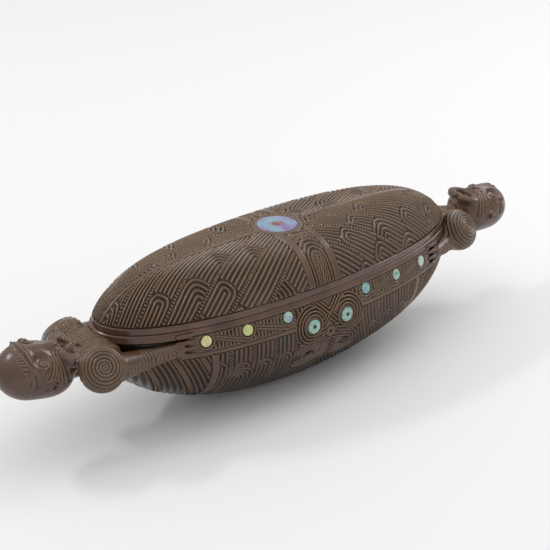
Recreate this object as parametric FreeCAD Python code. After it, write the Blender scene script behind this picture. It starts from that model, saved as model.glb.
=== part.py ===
"""Carved treasure box of wood: a boat-shaped hull with a domed lift-off lid.

A squat figure grows out of each end of the hull: its head points outward, its shoulders flank
the end of the box and its arms run back along the sides to small clenched hands.  Shell discs
are let into the lid's crown and into both long sides, where two ringed eyes with dark pegs
belong to a carved mask.

Frame, in millimetres: +X along the box, -Y its front, +Z up.  The origin is the centre of the
small flat on the belly that the box rests on.
"""
import FreeCAD, Part
import math
import os

os.makedirs("parts", exist_ok=True)
Vector = FreeCAD.Vector

# Driving dimensions.
RIM_HEIGHT = 83.4            # seam between hull and lid above the resting flat
HULL_HALF_LENGTH = 168.8     # at the rim, without the end figures
HULL_HALF_WIDTH = 56.6       # at the rim
PLAN_POWER = 2.11            # superellipse power of the plan outline
LID_GAP = 0.3                # running gap between lid and hull
LID_MARGIN = 4.5             # upright plain edge of the lid
LID_RISE = 31.6              # dome above that edge
WALL = 8.5                   # side wall at the rim
SHELL_RADIUS = 4.1           # plain shell discs of the side bands
EYE_RADIUS = 5.4             # ringed eyes of the side masks
LID_DISC_RADIUS = 15.4       # shell disc on the lid's crown

# Hull form: every level is a superellipse whose half length follows the keel line and whose
# half width follows the midship section.
KEEL_DEPTH = RIM_HEIGHT + 1.8    # depth of the full curve, before the belly is flattened
KEEL_POWER = 2.18
KEEL_FULLNESS = 0.471
SECTION_POWER = 2.73
SECTION_FULLNESS = 0.461
TUMBLEHOME = 0.133               # how far the sides swell below the rim, of the half width
TUMBLEHOME_SPAN = 0.80           # share of the depth that the swelling takes

# Cavity form.
CAVITY_HALF_LENGTH = 148.0
CAVITY_HALF_WIDTH = HULL_HALF_WIDTH - WALL
CAVITY_DEPTH = 71.0
CAVITY_FULLNESS = 0.40

# Lid form: power of the dome's curve across the box and along it, and its roundness.
DOME_POWER_ACROSS = 4.2
DOME_POWER_ALONG = 6.0
DOME_FULLNESS = 0.82
CROWN_SHARE = 0.995              # the crown is flat above this share of the rise
LID_HALF_LENGTH = 166.5
LID_HALF_WIDTH = 56.4
LID_WALL = 7.5
FLANGE_DEPTH = 5.0               # spigot under the lid that drops into the hull's mouth
FLANGE_WIDTH = 4.0
FLANGE_CLEARANCE = 0.8

# Shell inlays.
INLAY_DEPTH = 2.0
INLAY_PROUD = 0.25
POCKET_CLEARANCE = 0.05
POCKET_RUN_OUT = 3.0             # the pocket cutter's length outside the surface
PUPIL_RADIUS = 1.5
PUPIL_DEPTH = 4.0
PUPIL_PROUD = 0.4
LID_PEG_RADIUS = 3.4
LID_PEG_DEPTH = 5.0
LID_PEG_PROUD = 0.8
BAND_DISCS = {"outer": (106.5, 9.9), "middle": (73.6, 9.0), "inner": (38.6, 8.4)}
EYE_PLACE = (16.4, 21.9)         # distance from the middle, drop below the rim

# End figures: side, head centre, half length and radius of the head, shoulder position.
FIGURES = (
    {"side": -1, "head_x": 219.0, "head_z": 70.6, "head_half": 31.0, "head_radius": 20.2,
     "shoulder_x": 183.0, "hand_x": 121.0},
    {"side": 1, "head_x": 213.5, "head_z": 73.0, "head_half": 28.0, "head_radius": 18.2,
     "shoulder_x": 176.0, "hand_x": 124.0},
)
# Parts of a head.  Lengths along it are shares of its half length, outward positive; heights
# and radii are shares of its radius.
SKULL = {"along": 0.10, "up": -0.06, "half": 0.90, "fullness": 0.78}
JAW = {"along": -0.62, "up": 0.10, "radius": 0.66}
CHIN = {"along": -0.80, "up": 0.50, "radius": 0.30}
NOSE_ROOT = {"along": 0.05, "up": 0.86, "radius": 0.09}
NOSE_TIP = {"along": -0.38, "up": 0.92, "radius": 0.17}
EAR = {"along": -0.20, "out": 0.90, "up": -0.15, "half": 0.26, "radius": 0.16, "fullness": 0.8}
NECK = {"along": -0.45, "up": -0.2, "radius": 0.58}

# Torso and arms.
SHOULDER_RADIUS = 17.0
SHOULDER_EDGE = 6.5              # edge radius of the round shoulder
SHOULDER_Y = 28.0
SHOULDER_Z = 74.9
SHOULDER_SPLAY = 0.25            # the round shoulders face a little outward along the box
NECK_ROOT_IN = 12.0              # the neck ends this far inside the shoulders
NECK_ROOT_DROP = 6.0
NECK_ROOT_RADIUS = 14.45
CHEST_IN = 14.0
CHEST_DROP = 5.0
CHEST_RADIUS = 13.0
CHEST_FULLNESS = 0.55
ARM_ROOT = {"out": 4.0, "in_y": 4.0, "drop": 1.5, "radius": 9.5}
ELBOW = {"in_y": 0.5, "drop": 4.0, "radius": 8.0}
WRIST = {"in_y": 1.0, "drop": 2.5, "radius": 5.5}
HAND_DROP = 11.0                 # middle of the hand below the rim
FINGERS = 4
FINGER_TOP_DROP = 5.5
FINGER_PITCH = 3.6
FINGER_STATIONS = ((-6.0, 1.9), (-3.0, 2.0), (2.0, 2.0))    # x from the hand's, radius
LEVEL_SHARES = (0.0, 0.08, 0.2, 0.34, 0.48, 0.61, 0.73, 0.83, 0.90, 0.95)
CAVITY_SHARES = (-0.2, -0.1, 0.0, 0.15, 0.33, 0.52, 0.69, 0.82, 0.91, 0.96)
DOME_SHARES = (0.0, 0.2, 0.4, 0.6, 0.77, 0.88, 0.945, 0.98, CROWN_SHARE)
HALF_OUTLINE_STEPS = 24


def keel_scale(share):
    """Half length at a share of the depth, of the half length at the rim."""
    share = max(0.0, share)
    return (1.0 - share ** (1.0 / KEEL_FULLNESS)) ** (1.0 / KEEL_POWER)


def hull_scale(share):
    """Half width of the hull at a share of the depth, of the half width at the rim."""
    rounding = (1.0 - share ** SECTION_POWER) ** SECTION_FULLNESS
    return rounding * (1.0 + TUMBLEHOME * math.sin(math.pi * min(1.0, share / TUMBLEHOME_SPAN)))


def cavity_scale(share):
    """Half width of the cavity at a share of its depth, of the half width at its mouth."""
    share = max(0.0, share)
    return (1.0 - share ** SECTION_POWER) ** CAVITY_FULLNESS


def hull_half_width(x, drop):
    """Half width of the hull's outside at x, a given drop below the rim."""
    share = drop / KEEL_DEPTH
    along = min(1.0, abs(x) / (HULL_HALF_LENGTH * keel_scale(share)))
    return HULL_HALF_WIDTH * hull_scale(share) * (1.0 - along ** PLAN_POWER) ** (1.0 / PLAN_POWER)


def plan_point(half_length, half_width, turn, z):
    """Point of a superellipse outline at one level."""
    along = math.cos(turn)
    across = math.sin(turn)
    x = half_length * math.copysign(abs(along) ** (2.0 / PLAN_POWER), along)
    y = half_width * math.copysign(abs(across) ** (2.0 / PLAN_POWER), across)
    return Vector(x, y, z)


def level_cap(skins, z):
    """Flat face that closes two side skins at one level."""
    edges = []
    for skin in skins:
        edges += [e for e in skin.Edges if all(abs(v.Point.z - z) < 1e-4 for v in e.Vertexes)]
    return Part.Face(Part.Wire(Part.__sortEdges__(edges)))


def stacked_solid(levels):
    """Solid whose front and back skins run through half outlines, given from one end level
    to the other.

    levels is a list of functions of the turn from 0 to pi that give one level's front points.
    """
    skins = []
    for side in (1, -1):
        rows = []
        for level in levels:
            row = [level(math.pi * step / HALF_OUTLINE_STEPS) for step in range(HALF_OUTLINE_STEPS + 1)]
            row[0].y = 0.0
            row[-1].y = 0.0
            rows.append([Vector(p.x, side * p.y, p.z) for p in row])
        surface = Part.BSplineSurface()
        surface.interpolate(rows)
        skins.append(surface.toShape())
    ends = [level_cap(skins, levels[i](0.5).z) for i in (0, -1)]
    shell = Part.Shell(skins + ends)
    shell.sewShape()
    solid = Part.Solid(shell)
    if solid.Volume < 0:
        solid.reverse()
    return solid


def boat(half_length, half_width, width_scale, depth, shares):
    """Boat form that hangs from the rim."""
    def level(share):
        long_half = half_length * keel_scale(share)
        short_half = half_width * width_scale(share)
        return lambda turn: plan_point(long_half, short_half, turn, RIM_HEIGHT - depth * share)
    return stacked_solid([level(share) for share in shares])


def dome(half_length, half_width, low_z, spring_z, rise):
    """Dome on an upright wall, from the wall's foot up to the flat crown."""
    def foot(turn):
        return plan_point(half_length, half_width, turn, low_z)

    def level(share):
        height = share ** (1.0 / DOME_FULLNESS)

        def point(turn):
            along = math.cos(turn)
            power = DOME_POWER_ACROSS + (DOME_POWER_ALONG - DOME_POWER_ACROSS) * along * along
            scale = (1.0 - height) ** (1.0 / power)
            return plan_point(half_length * scale, half_width * scale, turn, spring_z + rise * share)
        return point
    return stacked_solid([foot] + [level(share) for share in DOME_SHARES])


def slab(half_length, half_width, low_z, high_z):
    """Upright slab with a superellipse outline."""
    def level(z):
        return lambda turn: plan_point(half_length, half_width, turn, z)
    return stacked_solid([level(low_z), level(0.5 * (low_z + high_z)), level(high_z)])


def ball(centre, radius):
    return Part.makeSphere(radius, centre)


def limb(*stations):
    """Round limb through stations, each a centre and a radius."""
    wires = []
    for index, (centre, radius) in enumerate(stations):
        before = stations[max(0, index - 1)][0]
        after = stations[min(len(stations) - 1, index + 1)][0]
        wires.append(Part.Wire(Part.makeCircle(radius, centre, after - before)))
    return Part.makeLoft(wires, True, False)


def round_disc(centre, axis, radius, edge):
    """Thick round disc with a fully rounded edge."""
    axis = Vector(axis)
    axis.normalize()
    core = Part.makeCylinder(radius - edge, 2.0 * edge, centre - axis * edge, axis)
    return core.fuse(Part.makeTorus(radius - edge, edge, centre, axis))


def spindle(centre, axis, half_length, radius, fullness):
    """Egg-like solid of revolution about an axis through centre."""
    steps = 10
    points = []
    for step in range(steps + 1):
        turn = math.pi * step / steps
        along = -half_length * math.cos(turn)
        out = radius * math.sin(turn) ** fullness
        points.append(Vector(along, out, 0))
    curve = Part.BSplineCurve()
    curve.interpolate(points)
    profile = Part.Wire([curve.toShape(), Part.makeLine(points[-1], points[0])])
    solid = Part.Face(profile).revolve(Vector(0, 0, 0), Vector(1, 0, 0), 360)
    solid.Placement = FreeCAD.Placement(centre, FreeCAD.Rotation(Vector(1, 0, 0), axis))
    return solid


def surface_frame(side, x, drop):
    """Point on the hull's long side and the outward normal there."""
    step = 0.5
    y = side * hull_half_width(x, drop)
    slope_x = side * (hull_half_width(x + step, drop) - hull_half_width(x - step, drop)) / (2 * step)
    slope_z = -side * (hull_half_width(x, drop + step) - hull_half_width(x, drop - step)) / (2 * step)
    normal = Vector(-slope_x * side, side * 1.0, -slope_z * side)
    normal.normalize()
    return Vector(x, y, RIM_HEIGHT - drop), normal


def head_point(figure, place):
    """Point of a head on its middle plane."""
    along = figure["side"] * (figure["head_x"] + place["along"] * figure["head_half"])
    return Vector(along, 0, figure["head_z"] + place["up"] * figure["head_radius"])


def head(figure):
    """Head lying on its back: crown outward, face up, chin towards the box."""
    half = figure["head_half"]
    radius = figure["head_radius"]
    outward = Vector(figure["side"], 0, 0)
    shape = spindle(head_point(figure, SKULL), outward, SKULL["half"] * half, radius,
                    SKULL["fullness"])
    for lump in (JAW, CHIN):
        shape = shape.fuse(ball(head_point(figure, lump), lump["radius"] * radius))
    nose = [(head_point(figure, place), place["radius"] * radius) for place in (NOSE_ROOT, NOSE_TIP)]
    shape = shape.fuse(limb(*nose))
    for flank in (-1, 1):
        centre = head_point(figure, EAR) + Vector(0, flank * EAR["out"] * radius, 0)
        shape = shape.fuse(spindle(centre, outward, EAR["half"] * half, EAR["radius"] * radius,
                                   EAR["fullness"]))
    return shape


def torso(figure):
    """Neck, chest and shoulders that join the head to the end of the hull."""
    side = figure["side"]
    shoulder_x = figure["shoulder_x"]
    neck_root = Vector(side * (shoulder_x - NECK_ROOT_IN), 0, SHOULDER_Z - NECK_ROOT_DROP)
    shape = limb((head_point(figure, NECK), NECK["radius"] * figure["head_radius"]),
                 (neck_root, NECK_ROOT_RADIUS))
    chest = Vector(side * (shoulder_x - CHEST_IN), 0, SHOULDER_Z - CHEST_DROP)
    shape = shape.fuse(spindle(chest, Vector(0, 1, 0), SHOULDER_Y, CHEST_RADIUS, CHEST_FULLNESS))
    for flank in (-1, 1):
        centre = Vector(side * shoulder_x, flank * SHOULDER_Y, SHOULDER_Z)
        facing = Vector(side * SHOULDER_SPLAY, flank, 0)
        shape = shape.fuse(round_disc(centre, facing, SHOULDER_RADIUS, SHOULDER_EDGE))
    return shape


def arm(figure, flank):
    """Arm and clenched hand along one flank of the hull."""
    side = figure["side"]
    hand_x = figure["hand_x"]
    hand_y = hull_half_width(hand_x, HAND_DROP)
    root_x = figure["shoulder_x"] + ARM_ROOT["out"]
    elbow_x = 0.5 * (figure["shoulder_x"] + hand_x)
    elbow_y = 0.5 * (SHOULDER_Y + hand_y) - ELBOW["in_y"]
    root = Vector(side * root_x, flank * (SHOULDER_Y - ARM_ROOT["in_y"]), SHOULDER_Z - ARM_ROOT["drop"])
    elbow = Vector(side * elbow_x, flank * elbow_y, SHOULDER_Z - ELBOW["drop"])
    wrist = Vector(side * hand_x, flank * (hand_y - WRIST["in_y"]), SHOULDER_Z - WRIST["drop"])
    shape = limb((root, ARM_ROOT["radius"]), (elbow, ELBOW["radius"]), (wrist, WRIST["radius"]))
    for finger in range(FINGERS):
        drop = FINGER_TOP_DROP + FINGER_PITCH * finger
        stations = []
        for reach, radius in FINGER_STATIONS:
            x = hand_x + reach
            centre = Vector(side * x, flank * hull_half_width(x, drop), RIM_HEIGHT - drop)
            stations.append((centre, radius))
        shape = shape.fuse(limb(*stations))
    return shape


def inlay(side, x, drop, radius, low, high):
    """Round bar on the hull's surface normal, between two heights along it."""
    point, normal = surface_frame(side, x, drop)
    return Part.makeCylinder(radius, high - low, point + normal * low, normal)


def side_places():
    """Name, side, x and drop of each shell disc and each eye of both long sides."""
    for side, face in ((-1, "front"), (1, "back")):
        for end, hand in ((-1, "left"), (1, "right")):
            for rank, (x, drop) in BAND_DISCS.items():
                yield "disc", f"{face}_{rank}_{hand}", side, end * x, drop
            yield "eye", f"{face}_{hand}", side, end * EYE_PLACE[0], EYE_PLACE[1]


def make_hull():
    """Hull with its end figures, cavity and the pockets for the shell inlays."""
    shares = LEVEL_SHARES + (RIM_HEIGHT / KEEL_DEPTH,)
    shape = boat(HULL_HALF_LENGTH, HULL_HALF_WIDTH, hull_scale, KEEL_DEPTH, shares)
    for figure in FIGURES:
        for member in (head(figure), torso(figure), arm(figure, -1), arm(figure, 1)):
            shape = shape.fuse(member)
    shape = shape.cut(boat(CAVITY_HALF_LENGTH, CAVITY_HALF_WIDTH, cavity_scale, CAVITY_DEPTH,
                           CAVITY_SHARES))
    pockets = []
    for kind, name, side, x, drop in side_places():
        radius = (SHELL_RADIUS if kind == "disc" else EYE_RADIUS) + POCKET_CLEARANCE
        pockets.append(inlay(side, x, drop, radius, -INLAY_DEPTH, POCKET_RUN_OUT))
        if kind == "eye":
            pockets.append(inlay(side, x, drop, PUPIL_RADIUS + POCKET_CLEARANCE, -PUPIL_DEPTH, 0.0))
    return shape.cut(pockets)


def make_lid():
    """Domed lid with its hollow, its locating flange and the pocket of the crown disc."""
    base = RIM_HEIGHT + LID_GAP
    shoulder = RIM_HEIGHT + LID_MARGIN
    shape = dome(LID_HALF_LENGTH, LID_HALF_WIDTH, base, shoulder, LID_RISE)
    flange_length = CAVITY_HALF_LENGTH - FLANGE_CLEARANCE
    flange_width = CAVITY_HALF_WIDTH - FLANGE_CLEARANCE
    flange = slab(flange_length, flange_width, RIM_HEIGHT - FLANGE_DEPTH, base + 1.0)
    shape = shape.fuse(flange)
    inner_length = flange_length - FLANGE_WIDTH
    inner_width = flange_width - FLANGE_WIDTH
    hollow_foot = RIM_HEIGHT - FLANGE_DEPTH - 1.0
    shape = shape.cut(dome(inner_length, inner_width, hollow_foot, shoulder, LID_RISE - LID_WALL))
    top = crown_height()
    pocket = Part.makeCylinder(LID_DISC_RADIUS + POCKET_CLEARANCE, INLAY_DEPTH + POCKET_RUN_OUT,
                               Vector(0, 0, top - INLAY_DEPTH))
    peg_hole = Part.makeCylinder(LID_PEG_RADIUS + POCKET_CLEARANCE, LID_PEG_DEPTH,
                                 Vector(0, 0, top - LID_PEG_DEPTH))
    return shape.cut([pocket, peg_hole])


def crown_height():
    """Height of the flat crown of the lid."""
    return RIM_HEIGHT + LID_MARGIN + LID_RISE * CROWN_SHARE


def make_lid_disc():
    low = crown_height() - INLAY_DEPTH
    thickness = INLAY_DEPTH + INLAY_PROUD
    disc = Part.makeCylinder(LID_DISC_RADIUS, thickness, Vector(0, 0, low))
    hole = Part.makeCylinder(LID_PEG_RADIUS + POCKET_CLEARANCE, thickness, Vector(0, 0, low))
    return disc.cut(hole)


def make_lid_peg():
    low = crown_height() - LID_PEG_DEPTH
    return Part.makeCylinder(LID_PEG_RADIUS, LID_PEG_DEPTH + LID_PEG_PROUD, Vector(0, 0, low))


def save(name, shape):
    """Write one node as a solid."""
    solids = shape.Solids
    result = solids[0] if len(solids) == 1 else shape
    print(name, "solids", len(solids), "valid", result.isValid(), "cm3", round(result.Volume / 1000, 2))
    result.exportStep(f"parts/{name}.step")


def build():
    save("hull", make_hull())
    save("lid", make_lid())
    save("lid_disc", make_lid_disc())
    save("lid_disc_peg", make_lid_peg())
    for kind, name, side, x, drop in side_places():
        if kind == "disc":
            save(f"disc_{name}", inlay(side, x, drop, SHELL_RADIUS, -INLAY_DEPTH, INLAY_PROUD))
            continue
        ring = inlay(side, x, drop, EYE_RADIUS, -INLAY_DEPTH, INLAY_PROUD)
        hole = inlay(side, x, drop, PUPIL_RADIUS + POCKET_CLEARANCE, -INLAY_DEPTH, POCKET_RUN_OUT)
        save(f"eye_ring_{name}", ring.cut(hole))
        save(f"eye_pupil_{name}", inlay(side, x, drop, PUPIL_RADIUS, -PUPIL_DEPTH, PUPIL_PROUD))


build()
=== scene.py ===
import math
import bpy
import numpy as np
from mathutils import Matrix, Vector


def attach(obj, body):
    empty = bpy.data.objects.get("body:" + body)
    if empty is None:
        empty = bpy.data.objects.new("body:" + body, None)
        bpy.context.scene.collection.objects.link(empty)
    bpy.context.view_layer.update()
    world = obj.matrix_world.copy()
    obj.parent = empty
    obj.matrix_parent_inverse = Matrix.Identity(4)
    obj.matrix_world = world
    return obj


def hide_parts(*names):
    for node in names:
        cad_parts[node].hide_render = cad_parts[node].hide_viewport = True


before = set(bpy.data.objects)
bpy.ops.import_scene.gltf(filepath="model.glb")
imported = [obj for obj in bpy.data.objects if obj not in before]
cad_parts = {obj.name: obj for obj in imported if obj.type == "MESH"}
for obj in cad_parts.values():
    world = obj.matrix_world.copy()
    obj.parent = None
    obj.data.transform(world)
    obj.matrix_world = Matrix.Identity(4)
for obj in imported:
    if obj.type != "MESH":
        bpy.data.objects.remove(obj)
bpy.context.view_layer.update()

MM = 0.001

# ---- Form of the box, in millimetres; the same curves as the CAD part uses. ----
RIM = 83.4
HALF_LENGTH = 168.8
HALF_WIDTH = 56.6
PLAN_POWER = 2.11
KEEL_DEPTH = 85.2
CAVITY_LENGTH = 148.0
CAVITY_WIDTH = 48.1
CAVITY_DEPTH = 71.0
LID_LENGTH = 166.5
LID_WIDTH = 56.4
LID_FOOT = RIM + 0.3
LID_SPRING = RIM + 4.5
LID_RISE = 31.6
LID_WALL = 7.5
FLANGE_DEPTH = 5.0
FLANGE_CLEARANCE = 0.8
CROWN = 0.995
LID_POWER = 4.2
LID_POWER_END = 1.8
LID_ROUND = 0.82
DISC_RADIUS = 15.4
DISC_HOLE = 3.45
PEG_RADIUS = 3.4
SHELL_RADIUS = 4.1
EYE_RADIUS = 5.4
EYE_HOLE = 1.55
PUPIL_RADIUS = 1.5
SHELL_POCKET = 1.6
LID_POCKET = 1.9
CUT_DEPTH = 1.9
# Places of the shell inlays: distance from the middle of the box, and drop below the rim.
BAND_DISCS = ((106.5, 9.9), (73.6, 9.0), (38.6, 8.4))
EYE_PLACE = (16.4, 21.9)


def smooth(low, high, value):
    """0 below low, 1 above high and a smooth step between."""
    share = np.clip((value - low) / (high - low), 0.0, 1.0)
    return share * share * (3.0 - 2.0 * share)


def furrows(distance, pitch, sharpness=1.3):
    """Parallel grooves at whole multiples of the pitch, 1 at their deepest line."""
    return (0.5 + 0.5 * np.cos(2.0 * np.pi * distance / pitch)) ** sharpness


def furrow(distance, half):
    """One groove along the line where distance is 0."""
    return 1.0 - smooth(0.0, half, np.abs(distance))


def furrow_pair(value, low, high, half):
    """Two grooves, one at each of two values."""
    return np.maximum(furrow(value - low, half), furrow(value - high, half))


def window(value, low, high, soft=0.35):
    """1 between low and high, with soft edges."""
    return smooth(low - soft, low + soft, value) * (1.0 - smooth(high - soft, high + soft, value))


def bars(along, pitch, fill=0.55):
    """Row of small pits, each a share of the pitch long."""
    wave = 0.5 + 0.5 * np.cos(2.0 * np.pi * along / pitch)
    return smooth(0.5 - 0.5 * fill, 0.5 + 0.4 * fill, wave)


def chance(number):
    """Repeatable number from 0 to 1 for a whole number."""
    value = np.sin(np.asarray(number, float) * 12.9898 + 4.1) * 43758.5453
    return value - np.floor(value)


def unit(vector):
    """Vector of length 1 in the same direction."""
    vector = np.array(vector, float)
    return vector / np.linalg.norm(vector)


def keel_scale(share):
    """Length of the hull at a share of its depth, as a share of the length at the rim."""
    return (1.0 - np.maximum(share, 0.0) ** (1.0 / 0.471)) ** (1.0 / 2.18)


def hull_scale(share):
    """Width of the hull at a share of its depth, as a share of the width at the rim."""
    share = np.maximum(share, 0.0)
    swell = 1.0 + 0.133 * np.sin(np.pi * np.minimum(1.0, share / 0.80))
    return (1.0 - share ** 2.73) ** 0.461 * swell


def cavity_scale(share):
    """The same for the width of the cavity."""
    return (1.0 - np.maximum(share, 0.0) ** 2.73) ** 0.40


def outline(half_length, half_width, turn):
    """Points of the oval plan at these turns."""
    along = np.cos(turn)
    across = np.sin(turn)
    x = half_length * np.sign(along) * np.abs(along) ** (2.0 / PLAN_POWER)
    y = half_width * np.sign(across) * np.abs(across) ** (2.0 / PLAN_POWER)
    return x, y


def half_across(x, half_length, half_width):
    """Half width of the oval plan at x."""
    inside = np.clip(1.0 - (np.abs(x) / half_length) ** PLAN_POWER, 0.0, 1.0)
    return half_width * inside ** (1.0 / PLAN_POWER)


def plan_reach(x, y, half_length, half_width):
    """1 on the oval plan of these half sizes, less inside it and more outside it."""
    level = (np.abs(x) / half_length) ** PLAN_POWER + (np.abs(y) / half_width) ** PLAN_POWER
    return level ** (1.0 / PLAN_POWER)


def even_turns(half_length, half_width, count):
    """Turns that space points evenly along an outline."""
    turn = np.linspace(0.0, 2.0 * np.pi, 40001)
    x, y = outline(half_length, half_width, turn)
    length = np.concatenate([[0.0], np.cumsum(np.hypot(np.diff(x), np.diff(y)))])
    return np.interp(np.arange(count) * length[-1] / count, length, turn)


# ---- Meshes. ----
def new_object(name, points, faces, attributes, uv=None):
    """Smooth-shaded mesh object from points in millimetres and arrays of polygons."""
    mesh = bpy.data.meshes.new(name)
    mesh.vertices.add(len(points))
    mesh.vertices.foreach_set("co", (points * MM).astype(np.float32).ravel())
    corners = np.concatenate([part.ravel() for part in faces]).astype(np.int32)
    sizes = np.concatenate([np.full(len(part), part.shape[1]) for part in faces])
    starts = np.concatenate([[0], np.cumsum(sizes)[:-1]]).astype(np.int32)
    mesh.loops.add(len(corners))
    mesh.loops.foreach_set("vertex_index", corners)
    mesh.polygons.add(len(sizes))
    mesh.polygons.foreach_set("loop_start", starts)
    mesh.polygons.foreach_set("use_smooth", np.ones(len(sizes), bool))
    if uv is not None:
        layer = mesh.uv_layers.new(name="OFBake")
        corner_uv = uv if len(uv) == len(corners) else uv[corners]
        layer.data.foreach_set("uv", corner_uv.astype(np.float32).ravel())
    mesh.update(calc_edges=True)
    mesh.validate()
    for label, values in attributes.items():
        layer = mesh.attributes.new(label, "FLOAT", "POINT")
        layer.data.foreach_set("value", values.astype(np.float32).ravel())
    made = bpy.data.objects.new(name, mesh)
    bpy.context.scene.collection.objects.link(made)
    return made


def ring_quads(rows, columns):
    """Polygons of a grid whose columns close on themselves."""
    row, column = np.meshgrid(np.arange(rows - 1), np.arange(columns), indexing="ij")
    after = (column + 1) % columns
    quads = np.stack([row * columns + column, row * columns + after,
                      (row + 1) * columns + after, (row + 1) * columns + column], -1)
    return quads.reshape(-1, 4)


def sheet_quads(rows, columns):
    """Polygons of an open grid."""
    row, column = np.meshgrid(np.arange(rows - 1), np.arange(columns - 1), indexing="ij")
    first = row * columns + column
    return np.stack([first, first + 1, first + columns + 1, first + columns], -1).reshape(-1, 4)


def cap_faces(first, columns, centre, upward):
    """Triangles that close a ring of points, numbered from first, with its centre point."""
    number = first + np.arange(columns)
    after = first + (np.arange(columns) + 1) % columns
    edge = (number, after) if upward else (after, number)
    return np.stack([*edge, np.full(columns, centre)], -1)


def grid_normals(points, closed):
    """Unit normals of a grid of points, rows by columns."""
    if closed:
        along = np.roll(points, -1, 1) - np.roll(points, 1, 1)
    else:
        along = np.gradient(points, axis=1)
    upward = np.gradient(points, axis=0)
    normal = np.cross(along, upward)
    return normal / np.maximum(np.linalg.norm(normal, axis=2, keepdims=True), 1e-9)


def wear_and_highlight(cut, closed):
    """How much a point stands out from its neighbours: the rubbed edges of the carving, lightened in the
    wood as wear and painted highlight.
    """
    axis_1 = (np.roll(cut, 2, 1) + np.roll(cut, -2, 1)) * 0.5
    if not closed:
        axis_1[:, :2] = cut[:, :2]
        axis_1[:, -2:] = cut[:, -2:]
    axis_0 = cut.copy()
    axis_0[2:-2] = 0.5 * (cut[:-4] + cut[4:])
    return np.clip((axis_0 + axis_1) * 0.5 - cut, 0.0, 1.0)


# ---- Carved pattern of the lid. ----
# Rows of notches alternate with bands of ridges. Front and back have a panel between two ribs.
# Girths are distances over the lid from its middle line.
LID_PITCH = 3.6
LID_NOTCH = 3.2
LID_RIDGES = 5
LID_BAND = LID_NOTCH + LID_RIDGES * LID_PITCH
LID_FAN = 21.0
LID_FAN_START = 12.0
LID_FAN_SCALE = 0.56
LID_ROW_SHIFT = 8.9
BEND_SHARE = 0.48
LOOP_SHARE = 0.66
PIT_DEPTH = 1.25
NOTCH_PITCH = 2.3
PANEL_HALF = 9.3
PANEL_RIB = 15.6
ARCH_FOOT = 52.0
ARCH_PITCH = 2.55
ARCH_ZIGZAG = 4.6
CURL_PLACE = (4.4, 27.0)
SPINE_HALF = 2.1
SPINE_SHIFT = 0.8
RING_RADIUS = 20.0
RING_POINTS = (26.0, 23.5)
LID_EDGE = 1.3
LID_GRID = (760, 300)


def band_rows(along, across, seed, pitch, notch, ridges):
    """Rows of notches with smooth ridges between them; here and there the ridges turn across
    the band in a nested bend, or close in a nested loop."""
    width = ridges * pitch
    band = notch + width
    index = np.floor(across / band)
    level = across - index * band
    key = index * 7.0 + seed
    field = level - notch
    period = 27.0 + 17.0 * chance(key + 3.0)
    place = along / period + chance(key)
    number = np.round(place)
    local = (number - place) * period + 4.0
    pick = chance(key + number * 3.7 + 1.0)
    flipped = np.where(chance(key * 1.7 + number) > 0.5, width - field, field)
    cut = furrows(field, pitch)
    # Bend: the ridges turn square and run into the next row of notches.
    ahead = np.maximum(local, 0.0)
    bend = (ahead ** 4 + np.maximum(width - flipped, 0.0) ** 4) ** 0.25
    bend_cut = np.where(bend < width, furrows(width - bend, pitch), cut)
    bend_cut = np.maximum(bend_cut, furrow(bend - width, 1.1))
    corner = (bend > width + 0.4) & (local < 0.80 * width)
    bend_cut = np.where(corner, PIT_DEPTH, bend_cut)
    # Loop: the ridges close on themselves round the middle of the band.
    middle = 0.5 * width
    loop = (ahead ** 3 + np.abs(field - middle) ** 3) ** (1.0 / 3.0)
    loop_cut = np.where(loop < middle, furrows(middle - loop, pitch), cut)
    loop_cut = np.maximum(loop_cut, furrow(loop - middle, 1.1) * (local > 0.0))
    pit = (loop > middle + 0.4) & (local < 0.95 * middle)
    loop_cut = np.where(pit, PIT_DEPTH, loop_cut)
    here = (local > 0.0) & (local < width)
    cut = np.where(here & (pick < BEND_SHARE), bend_cut, cut)
    cut = np.where(here & (pick > LOOP_SHARE), loop_cut, cut)
    row = bars(along, NOTCH_PITCH) * window(level, 0.55, notch - 0.5, 0.4)
    edge = furrow_pair(level, 0.0, notch, 0.7)
    return np.where(level < notch, np.maximum(1.1 * row, edge), cut)


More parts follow.
